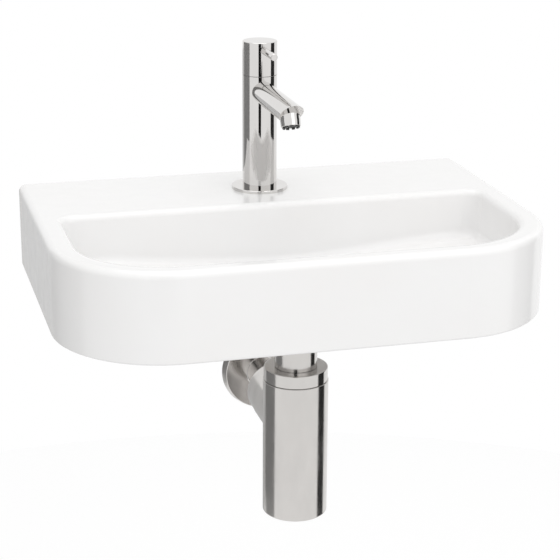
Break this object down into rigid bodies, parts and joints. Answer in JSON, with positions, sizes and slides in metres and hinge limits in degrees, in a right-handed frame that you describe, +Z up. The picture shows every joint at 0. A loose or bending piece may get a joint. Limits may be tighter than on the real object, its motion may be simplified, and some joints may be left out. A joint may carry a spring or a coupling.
{
  "type": "wall hung basin",
  "caption": "Wall-hung hand basin with a flat tap deck, a pillar tap with a turning pin-lever handle and forward spout, a perforated waste grid and a bottle trap with its wall outlet.",
  "frame": {"origin": "on the wall plane, midway between the centres of the two wall fixing holes, 45 mm below the deck", "axes": "+X along the wall to the basin's right as seen by someone standing at it, +Y into the wall, +Z up"},
  "size_m": [0.45, 0.345, 0.4227],
  "materials": {
    "glaze": "glossy white glaze",
    "tap_chrome": "polished chrome plate",
    "trap_chrome": "polished chrome plate, slightly warmer",
    "rubber": "black moulded rubber",
    "brass": "machined brass",
    "steel": "zinc-plated steel",
    "disc_ceramic": "lapped ceramic",
    "insert_plastic": "dark grey moulded plastic",
    "ring_plastic": "white moulded plastic"
  },
  "bodies": {
    "basin_set": {"basin": "glaze", "tap_base_flange": "tap_chrome", "tap_base_seal": "rubber", "tap_body": "tap_chrome", "tap_spout": "tap_chrome", "aerator_housing": "tap_chrome", "aerator_insert": "insert_plastic", "aerator_washer": "rubber", "cartridge_body": "brass", "fixed_disc": "disc_ceramic", "glide_ring": "ring_plastic", "tap_shank": "brass", "shank_washer": "rubber", "shank_plate": "steel", "shank_backnut": "brass", "waste_grid": "tap_chrome", "waste_screw": "tap_chrome", "waste_top_seal": "rubber", "waste_under_seal": "rubber", "waste_body": "brass", "union_nut": "trap_chrome", "union_seal": "rubber", "tail_pipe": "trap_chrome", "inlet_nut": "trap_chrome", "inlet_seal": "rubber", "trap_cap": "trap_chrome", "cap_seal": "rubber", "trap_cup": "trap_chrome", "outlet_nut": "trap_chrome", "outlet_seal": "rubber", "outlet_pipe": "trap_chrome"},
    "tap_top": {"tap_handle": "tap_chrome", "lever_pin": "tap_chrome", "handle_screw": "steel", "cartridge_spindle": "brass", "moving_disc": "disc_ceramic"},
    "rosette": {"wall_rosette": "trap_chrome"}
  },
  "joints": [
    {"name": "tap_turn", "type": "hinge", "parent": "basin_set", "child": "tap_top", "pos_m": [0, -0.0654, 0.18], "axis": [0, 0, 1], "range_deg": [0, 90]},
    {"name": "rosette_slide", "type": "slide", "parent": "basin_set", "child": "rosette", "axis": [0, 1, 0], "range_m": [-0.03, 0.0685]}
  ]
}
